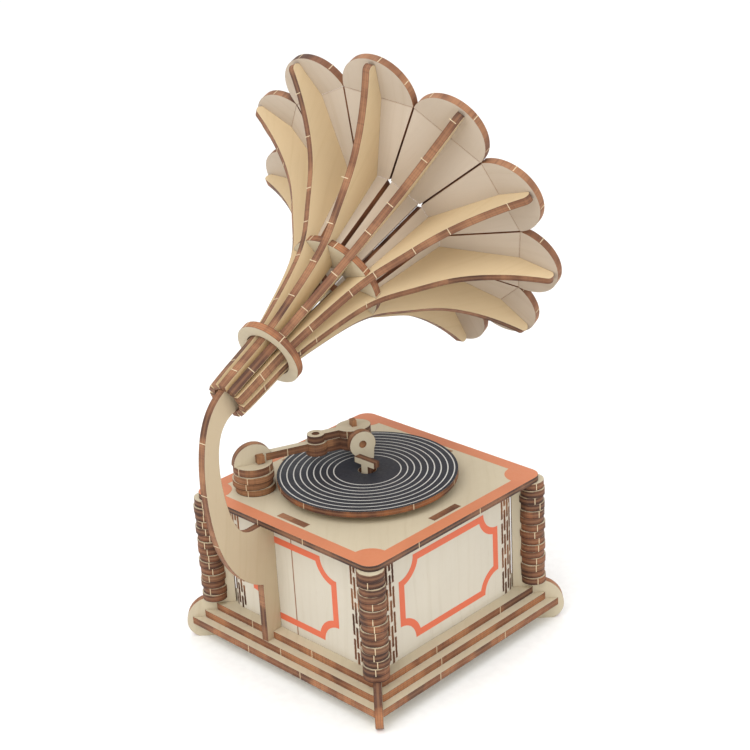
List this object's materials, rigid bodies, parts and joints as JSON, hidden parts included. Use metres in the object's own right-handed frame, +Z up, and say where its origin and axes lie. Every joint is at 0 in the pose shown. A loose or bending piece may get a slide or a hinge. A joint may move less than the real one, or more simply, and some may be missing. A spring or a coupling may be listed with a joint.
{
  "type": "wooden gramophone puzzle model",
  "caption": "Laser-cut plywood gramophone puzzle with a square box, a turning record, a swinging tonearm and a petalled horn on a curved neck.",
  "frame": {"origin": "middle of the whole model's bounding box, at the level of the feet", "axes": "+Z up; -Y is the way the horn opens, apart from a small yaw; the neck stands on the +Y side; +X is to the right when the model is seen from the front"},
  "size_m": [0.142, 0.1488, 0.2253],
  "materials": {
    "plywood": "unfinished laser-cut birch plywood, matte",
    "painted_plywood": "dark satin print on plywood"
  },
  "bodies": {
    "base": {"base_bottom_plate": "plywood", "base_middle_plate": "plywood", "base_top_plate": "plywood", "corner_post_back": "plywood", "corner_post_front": "plywood", "corner_post_left": "plywood", "corner_post_right": "plywood", "horn_collar": "plywood", "horn_disc": "plywood", "horn_neck": "plywood", "horn_petal_01": "plywood", "horn_petal_02": "plywood", "horn_petal_03": "plywood", "horn_petal_04": "plywood", "horn_petal_05": "plywood", "horn_petal_06": "plywood", "horn_petal_07": "plywood", "horn_petal_08": "plywood", "horn_petal_09": "plywood", "horn_petal_10": "plywood", "horn_petal_11": "plywood", "horn_rib_01": "plywood", "horn_rib_02": "plywood", "horn_rib_03": "plywood", "horn_rib_04": "plywood", "horn_rib_05": "plywood", "horn_rib_06": "plywood", "horn_rib_07": "plywood", "horn_rib_08": "plywood", "horn_rib_09": "plywood", "horn_rib_10": "plywood", "horn_rib_11": "plywood", "lid": "plywood", "pillar_discs_back": "plywood", "pillar_discs_front": "plywood", "pillar_discs_left": "plywood", "pillar_discs_right": "plywood", "tonearm_base_discs": "plywood", "wall_sheet_left": "plywood", "wall_sheet_right": "plywood"},
    "record_table": {"turntable_retainer": "plywood", "turntable_hub": "plywood", "turntable_spacer": "plywood", "record": "painted_plywood", "spindle_key": "plywood"},
    "tonearm": {"head_lower_plate": "plywood", "head_middle_plate": "plywood", "head_pin": "plywood", "head_tab": "plywood", "head_upper_plate": "plywood", "soundbox_axle": "plywood", "soundbox_disc": "plywood", "tonearm_bar": "plywood", "tonearm_fan": "plywood", "tonearm_peg": "plywood", "tonearm_retainer": "plywood", "tonearm_spool": "plywood", "tonearm_top_disc": "plywood"}
  },
  "joints": [
    {"name": "record_spin", "type": "hinge", "parent": "base", "child": "record_table", "pos_m": [-0.01675, 0.00141, 0.063], "axis": [0, 0, 1], "continuous": true},
    {"name": "tonearm_swing", "type": "hinge", "parent": "base", "child": "tonearm", "pos_m": [0.01425, 0.03241, 0.063], "axis": [0, 0, 1], "range_deg": [0, 40]}
  ]
}
